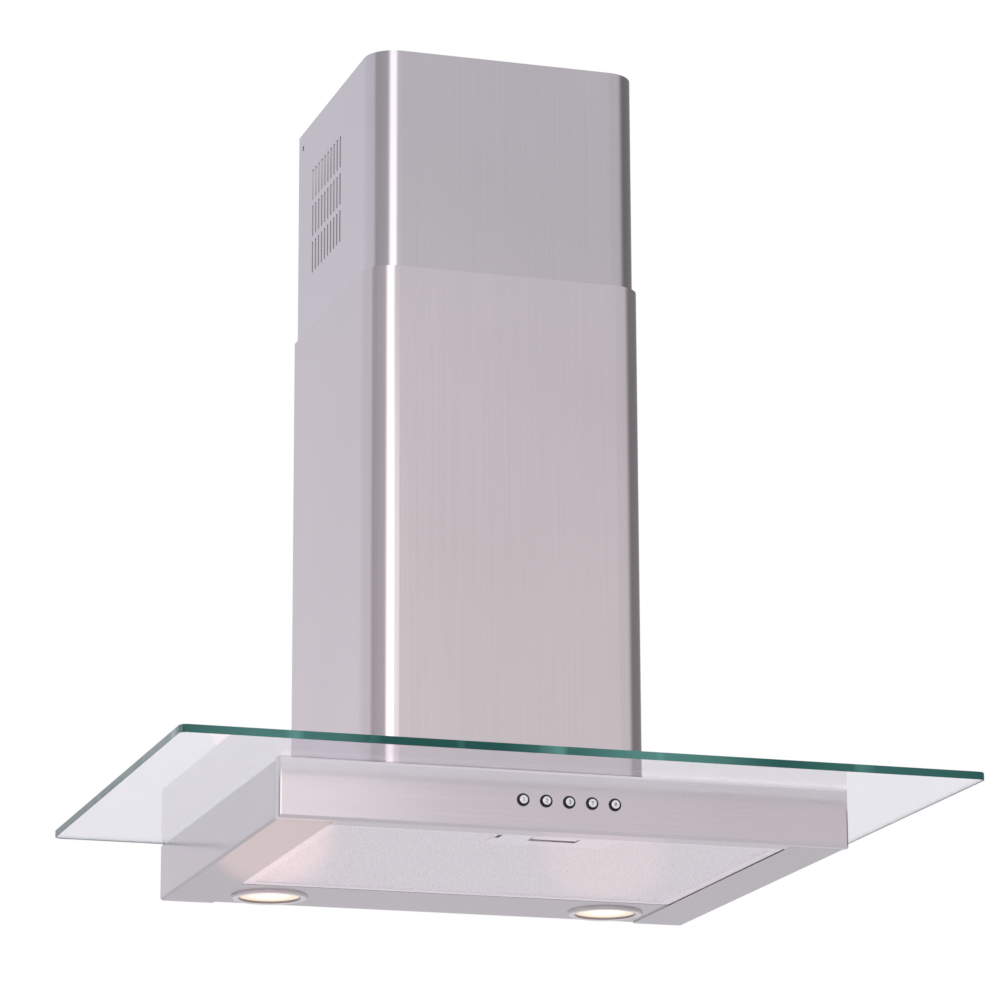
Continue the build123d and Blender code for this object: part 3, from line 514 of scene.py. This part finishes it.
def dress_lamp(side):
    """The lens, ring and bulb of one lamp."""
    low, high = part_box(f"lamp_glass_{side}")
    middle = middle_of(f"lamp_glass_{side}")
    lens = lit_lens(f"lamp_lens_{side}", LENS_COLOUR, middle, (high.x - low.x) / 2, LENS_STRENGTH)
    dress(NODES[f"lamp_glass_{side}"], lens)
    finish = {"roughness": 0.22, "grain": 900.0, "depth": 0.00002}
    trim = banded_metal(f"lamp_trim_{side}", RING_COLOUR, middle, RING_BANDS, **finish)
    dress(NODES[f"lamp_ring_{side}"], trim)
    bulb = f"lamp_bulb_{side}"
    filament = (FILAMENT_COLOUR, middle_of(bulb), FILAMENT_RADIUS, FILAMENT_STRENGTH)
    dress(NODES[bulb], lit_lens(f"lamp_filament_{side}", *filament))


for name in BUTTON_MARKS:
    dress_button(name)
for side in LAMP_SIDES:
    dress_lamp(side)

# ------------------------------------------------------------------ smooth shading
# Folds sharper than this stay crisp.
SHARP_FOLD = math.radians(32.0)


def smooth_by_angle(piece):
    """Rounds the shading of curved walls and keeps folds crisp."""
    for polygon in piece.data.polygons:
        polygon.use_smooth = True
    piece.data.set_sharp_from_angle(angle=SHARP_FOLD)


for piece in NODES.values():
    smooth_by_angle(piece)


# ------------------------------------------------------------------ pieces
def new_piece(name, mesh, body):
    """Links a mesh as a piece that rides on a body."""
    piece = bpy.data.objects.new(name, mesh)
    SCENE.collection.objects.link(piece)
    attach(piece, body)
    return piece


# The gasket's thickness, which keeps the glass just off the steel under it.
GLASS_REST = 0.0002
# A face is one of the sheet's two broad ones when its direction is this much upright.
BROAD_FACE = 0.9
# Corners this near to the sheet's underside belong to it.
HAIR = 1e-6
# The deep colour of each glass edge and the bright colour of its painted light.
FRONT_EDGE_COLOURS = ((0.013, 0.092, 0.078), (0.160, 0.420, 0.370))
SIDE_EDGE_COLOURS = ((0.11, 0.20, 0.19), (0.44, 0.54, 0.53))


def polished_sheet():
    """The glass sheet: clear faces, green front and back edges and paler side edges, with painted light on the
    edges.
    """
    mesh = NODES["glass_canopy"].data.copy()
    mesh.name = "glass_sheet"
    mesh.materials.clear()
    mesh.materials.append(MATERIALS["canopy_glass"])
    mesh.materials.append(glass_edge("glass_edge", *FRONT_EDGE_COLOURS))
    mesh.materials.append(glass_edge("glass_edge_side", *SIDE_EDGE_COLOURS))
    for polygon in mesh.polygons:
        across, along, up = (abs(part) for part in polygon.normal)
        polygon.material_index = 0 if up > BROAD_FACE else 1 if along > across else 2
    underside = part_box("glass_canopy")[0].z + HAIR
    for vertex in mesh.vertices:
        if vertex.co.z < underside:
            vertex.co.z += GLASS_REST
    sheet = new_piece("glass_sheet", mesh, "hood")
    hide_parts("glass_canopy")


polished_sheet()

STRAND_PITCH = 0.0021
STRAND_WIDTH = 0.00178
STRAND_LEAN = math.radians(63)
STRAND_LAP = 0.00004
SHORTEST_STRAND = 0.002
# The strands stop this far from the sheet's edges, under the rails of the frame.
MESH_MARGIN = 0.001
# How far the opening for the latch housing reaches past its front.
HOUSING_CLEARANCE = 0.01
ENDLESS = 10.0


def clip_line(start, step, low, high):
    """The part of an endless line inside a rectangle, as two distances along it, or None."""
    first, last = -ENDLESS, ENDLESS
    for axis in (0, 1):
        near = (low[axis] - start[axis]) / step[axis]
        far = (high[axis] - start[axis]) / step[axis]
        first = max(first, min(near, far))
        last = min(last, max(near, far))
    return (first, last) if last > first else None


def strand(bm, start, end, z_limits):
    """One flat straight strand of the mesh, a closed bar."""
    way = (end - start).normalized()
    side = Vector((-way.y, way.x)) * (STRAND_WIDTH / 2)
    corners = []
    for z in z_limits:
        for point in (start - side, end - side, end + side, start + side):
            corners.append(bm.verts.new((point.x, point.y, z)))
    bm.faces.new([corners[index] for index in (3, 2, 1, 0)])
    bm.faces.new([corners[index] for index in (4, 5, 6, 7)])
    for index in range(4):
        after = (index + 1) % 4
        bm.faces.new([corners[index], corners[after], corners[after + 4], corners[index + 4]])


def expanded_mesh(name, node_name):
    """Two crossing layers of strands that fill the sheet's box, open round the latch housing."""
    low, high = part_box(node_name)
    gap_low, gap_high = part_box("latch_housing")
    field = ((low.x + MESH_MARGIN, low.y + MESH_MARGIN), (high.x - MESH_MARGIN, high.y - MESH_MARGIN))
    gap = ((gap_low.x, gap_low.y - HOUSING_CLEARANCE), (gap_high.x, gap_high.y))
    middle_z = (low.z + high.z) / 2
    layers = ((low.z, middle_z + STRAND_LAP), (middle_z - STRAND_LAP, high.z))
    reach = (high.y - low.y) / math.tan(STRAND_LEAN)
    count = int((high.x - low.x + 2 * reach) / STRAND_PITCH)
    bm = bmesh.new()
    for layer, lean in zip(layers, (STRAND_LEAN, math.pi - STRAND_LEAN)):
        step = Vector((math.cos(lean), math.sin(lean)))
        for index in range(count):
            start = Vector((low.x - reach + (index + 0.5) * STRAND_PITCH, low.y))
            inside = clip_line(start, step, *field)
            if not inside:
                continue
            hole = clip_line(start, step, *gap)
            runs = [inside] if not hole else [(inside[0], hole[0]), (hole[1], inside[1])]
            for first, last in runs:
                if last - first > SHORTEST_STRAND:
                    strand(bm, start + step * first, start + step * last, layer)
    mesh = bpy.data.meshes.new(name)
    bm.to_mesh(mesh)
    bm.free()
    piece = new_piece(name, mesh, "filter")
    dress(piece, MATERIALS["filter_mesh"])
    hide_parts(node_name)


expanded_mesh("filter_strands_lower", "filter_mesh_lower")
expanded_mesh("filter_strands_upper", "filter_mesh_upper")


def latch_coil():
    """The return spring of the latch, as a piece of its own that rides on the filter."""
    coil = new_piece("latch_coil", NODES["latch_spring"].data.copy(), "filter")
    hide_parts("latch_spring")
    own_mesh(coil)


latch_coil()

MARK_THICKNESS = 0.00028
# How deep the middle of a stroke lies under the cap's surface, as a share of its thickness.
MARK_SINK = 0.3
# How far in front of the cap the search for its surface starts.
CLEAR_OF_CAP = 0.01


def button_mark(name, strokes):
    """Printed strokes that lie on the crown of a button's cap."""
    cap = NODES[name].data
    tree = BVHTree.FromPolygons([v.co for v in cap.vertices], [p.vertices[:] for p in cap.polygons])
    middle = middle_of(name)
    front_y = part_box(name)[0].y
    curve = bpy.data.curves.new(f"{name}_mark", "CURVE")
    curve.dimensions = "3D"
    curve.bevel_depth = MARK_THICKNESS
    curve.bevel_resolution = 1
    curve.use_fill_caps = True
    for stroke in strokes:
        spline = curve.splines.new("POLY")
        spline.points.add(len(stroke) - 1)
        for point, (x, z) in zip(spline.points, stroke):
            before = Vector((middle.x + x * MM, front_y - CLEAR_OF_CAP, middle.z + z * MM))
            surface = tree.ray_cast(before, Vector((0, 1, 0)))[0]
            point.co = (surface.x, surface.y + MARK_THICKNESS * MARK_SINK, surface.z, 1.0)
    drawn = bpy.data.objects.new(f"{name}_strokes", curve)
    mesh = bpy.data.meshes.new_from_object(drawn)
    bpy.data.objects.remove(drawn)
    piece = new_piece(f"{name}_mark", mesh, name)
    dress(piece, MATERIALS["printed_ink"])


for name, strokes in BUTTON_MARKS.items():
    button_mark(name, strokes)

# ------------------------------------------------------------------ floor
FLOOR_Z = -3.4
FLOOR_REACH = 80.0
FLOOR_COLOUR = (0.86, 0.85, 0.87)
floor_mesh = bmesh.new()
bmesh.ops.create_grid(floor_mesh, x_segments=2, y_segments=2, size=FLOOR_REACH)
floor_data = bpy.data.meshes.new("floor")
floor_mesh.to_mesh(floor_data)
floor_mesh.free()
floor = bpy.data.objects.new("floor", floor_data)
SCENE.collection.objects.link(floor)
floor.location = (0.0, 0.0, FLOOR_Z)
dress(floor, moulded("floor_paint", FLOOR_COLOUR, roughness=0.8, grain=3.0, depth=0.00002, contrast=0.02))

# ------------------------------------------------------------------ surroundings
# Compass of the surroundings: degrees clockwise from the wall (+Y), a share of full brightness,
# and how blue that side is.
STUDIO_RING = [
    (-180, 0.34, 1.0),
    (-178, 0.36, 1.0),
    (-173, 0.78, 1.0),
    (-153, 0.78, 1.0),
    (-145, 0.24, 1.0),
    (-94, 0.21, 1.0),
    (-86, 0.34, 1.03),
    (-40, 0.35, 1.04),
    (-10, 0.35, 1.04),
    (10, 0.33, 1.02),
    (30, 0.20, 1.0),
    (50, 0.12, 1.0),
    (103, 0.10, 1.0),
    (112, 0.18, 1.0),
    (122, 0.31, 1.0),
    (150, 0.315, 1.0),
    (158, 0.318, 1.0),
    (162, 0.335, 1.0),
    (166, 0.345, 1.0),
    (180, 0.34, 1.0),
]
# How green every side is.
STUDIO_GREEN = 0.985
# The same for height: the sine of the elevation, and a colour that multiplies the ring.
STUDIO_HEIGHT = [
    (-1.0, 1.0, 0.97, 0.98),
    (-0.1, 1.0, 0.965, 0.98),
    (0.12, 1.0, 0.96, 0.97),
    (0.20, 1.03, 0.99, 1.005),
    (0.22, 1.0, 0.97, 0.985),
    (0.29, 0.90, 0.885, 0.905),
    (0.36, 0.86, 0.865, 0.89),
    (0.55, 0.88, 0.88, 0.89),
    (0.72, 1.15, 1.15, 1.15),
    (1.0, 1.7, 1.7, 1.7),
]
STUDIO_STRENGTH = 2.3
WHITE = (1.0, 1.0, 1.0, 1.0)


def studio_world():
    """Soft studio surroundings: a ring of greys round the object, paler above, white to the eye."""
    world = bpy.data.worlds.new("studio")
    world.use_nodes = True
    tree = world.node_tree
    tree.nodes.clear()
    way = node(tree, "ShaderNodeTexCoord").outputs["Generated"]
    parts = node(tree, "ShaderNodeSeparateXYZ", {"Vector": way}).outputs
    compass = calculate(tree, "ARCTAN2", parts["X"], parts["Y"])
    stops = [(math.radians(turn), grey, grey * STUDIO_GREEN, grey * blue) for turn, grey, blue in STUDIO_RING]
    ring = ramp(tree, compass, stops, -math.pi, math.pi)
    around = multiply_colours(tree, ring, ramp(tree, parts["Z"], STUDIO_HEIGHT, -1.0, 1.0))
    lit = node(tree, "ShaderNodeBackground", {"Color": around, "Strength": STUDIO_STRENGTH})
    seen = node(tree, "ShaderNodeBackground", {"Color": WHITE, "Strength": 1.0})
    path = node(tree, "ShaderNodeLightPath").outputs
    open_view = calculate(tree, "MAXIMUM", path["Is Camera Ray"], path["Is Transmission Ray"])
    mixer = node(tree, "ShaderNodeMixShader", {"Fac": open_view, 1: lit.outputs[0], 2: seen.outputs[0]})
    output = node(tree, "ShaderNodeOutputWorld")
    tree.links.new(mixer.outputs[0], output.inputs["Surface"])
    SCENE.world = world


studio_world()

# ------------------------------------------------------------------ lights
# A soft card in front of the chimney's foot.
CARD_PLACE = Vector((-0.24, -1.90, 0.33))
CARD_TARGET = Vector((-0.24, -0.30, 0.33))
CARD_WIDTH = 1.10
CARD_HEIGHT = 1.00
CARD_POWER = 1.15
CARD_COLOUR = (1.0, 0.96, 0.97)
# The warm light of each lamp, hung under its ring.
GLOW_COLOUR = (1.0, 0.52, 0.38)
GLOW_POWER = {"left": 0.026, "right": 0.010}
GLOW_RADIUS = 0.05
GLOW_DROP = 0.055


def hang(light, place):
    """Puts a light in the scene, itself unseen."""
    holder = bpy.data.objects.new(light.name, light)
    holder.visible_camera = False
    SCENE.collection.objects.link(holder)
    holder.location = place
    return holder


def front_card():
    """Soft light on the fascia and the foot of the chimney."""
    light = bpy.data.lights.new("front_card", "AREA")
    light.shape = "RECTANGLE"
    light.size = CARD_WIDTH
    light.size_y = CARD_HEIGHT
    light.energy = CARD_POWER
    light.color = CARD_COLOUR
    holder = hang(light, CARD_PLACE)
    holder.rotation_mode = "QUATERNION"
    holder.rotation_quaternion = (CARD_TARGET - CARD_PLACE).to_track_quat("-Z", "Y")


def lamp_glow(side):
    """Warm light that one lamp throws on the underside and the filter."""
    light = bpy.data.lights.new(f"lamp_glow_{side}", "POINT")
    light.energy = GLOW_POWER[side]
    light.color = GLOW_COLOUR
    light.shadow_soft_size = GLOW_RADIUS
    ring = f"lamp_ring_{side}"
    place = middle_of(ring)
    place.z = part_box(ring)[0].z - GLOW_DROP
    hang(light, place)


front_card()
for side in LAMP_SIDES:
    lamp_glow(side)

# ------------------------------------------------------------------ camera
CAMERA_PLACE = Vector((-0.9835, -3.3115, -0.6033))
CAMERA_YAW = 0.306
CAMERA_PITCH = 0.260
CAMERA_ROLL = -0.004
# Focal length as a multiple of the sensor's width.
CAMERA_FOCAL = 4.415
SENSOR_WIDTH = 36.0
CAMERA_REACH = 300.0
camera_data = bpy.data.cameras.new("camera")
camera_data.sensor_width = SENSOR_WIDTH
camera_data.lens = SENSOR_WIDTH * CAMERA_FOCAL
camera_data.clip_end = CAMERA_REACH
camera = bpy.data.objects.new("camera", camera_data)
SCENE.collection.objects.link(camera)
camera.location = CAMERA_PLACE
look = Vector(
    (
        math.sin(CAMERA_YAW) * math.cos(CAMERA_PITCH),
        math.cos(CAMERA_YAW) * math.cos(CAMERA_PITCH),
        math.sin(CAMERA_PITCH),
    )
)
roll = Matrix.Rotation(CAMERA_ROLL, 4, "Z").to_quaternion()
camera.rotation_mode = "QUATERNION"
camera.rotation_quaternion = look.to_track_quat("-Z", "Y") @ roll
SCENE.camera = camera
SCENE.view_settings.view_transform = "Standard"
